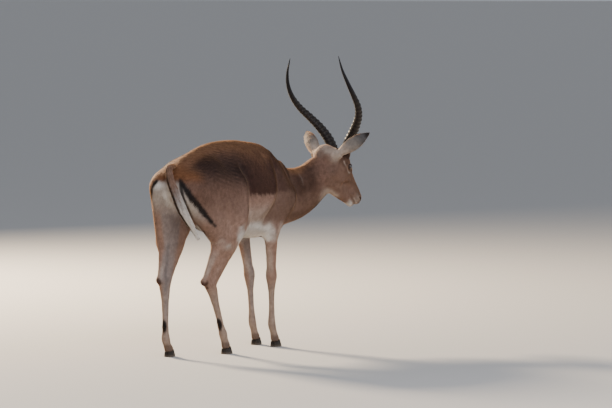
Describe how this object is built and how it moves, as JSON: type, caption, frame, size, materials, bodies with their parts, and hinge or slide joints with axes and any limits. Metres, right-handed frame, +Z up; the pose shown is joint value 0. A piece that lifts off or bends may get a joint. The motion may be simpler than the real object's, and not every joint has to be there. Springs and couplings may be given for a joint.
{
  "type": "impala antelope",
  "caption": "Standing male impala with lyre-shaped ringed horns, its head lowered and turned to its right and one hind leg forward; a still, life-size animal figure.",
  "frame": {"origin": "on the ground, under the middle of the bounding box of the whole animal", "axes": "+X towards the animal's front, +Y to the animal's left, +Z up; the hooves stand on z = 0"},
  "size_m": [1.3796, 0.461, 1.2707],
  "materials": {
    "coat": "short glossy hair, reddish brown above, tan on the flanks and white below",
    "leg_coat": "short hair, tan with paler inner sides and a black tuft above each hind fetlock",
    "ear_coat": "short pale tan hair with a black tip and a white lining",
    "tail_coat": "long hair, grey brown along the middle and white at the edges and tip",
    "horn": "dark horn, ringed over the lower two thirds and smooth at the tip",
    "hoof": "black horn, satin",
    "eye": "dark brown eye, wet and glossy"
  },
  "bodies": {
    "root": {"trunk": "coat", "neck": "coat", "head": "coat", "foreleg_left_upper": "coat", "foreleg_right_upper": "coat", "foreleg_left_lower": "leg_coat", "foreleg_right_lower": "leg_coat", "hindleg_left_upper": "coat", "hindleg_right_upper": "coat", "hindleg_left_lower": "leg_coat", "hindleg_right_lower": "leg_coat", "ear_left": "ear_coat", "ear_right": "ear_coat", "tail": "tail_coat", "horn_left": "horn", "horn_right": "horn", "eye_left": "eye", "eye_right": "eye", "hoof_fore_left_claw_left": "hoof", "hoof_fore_left_claw_right": "hoof", "hoof_fore_right_claw_left": "hoof", "hoof_fore_right_claw_right": "hoof", "hoof_hind_left_claw_left": "hoof", "hoof_hind_left_claw_right": "hoof", "hoof_hind_right_claw_left": "hoof", "hoof_hind_right_claw_right": "hoof"}
  },
  "joints": []
}
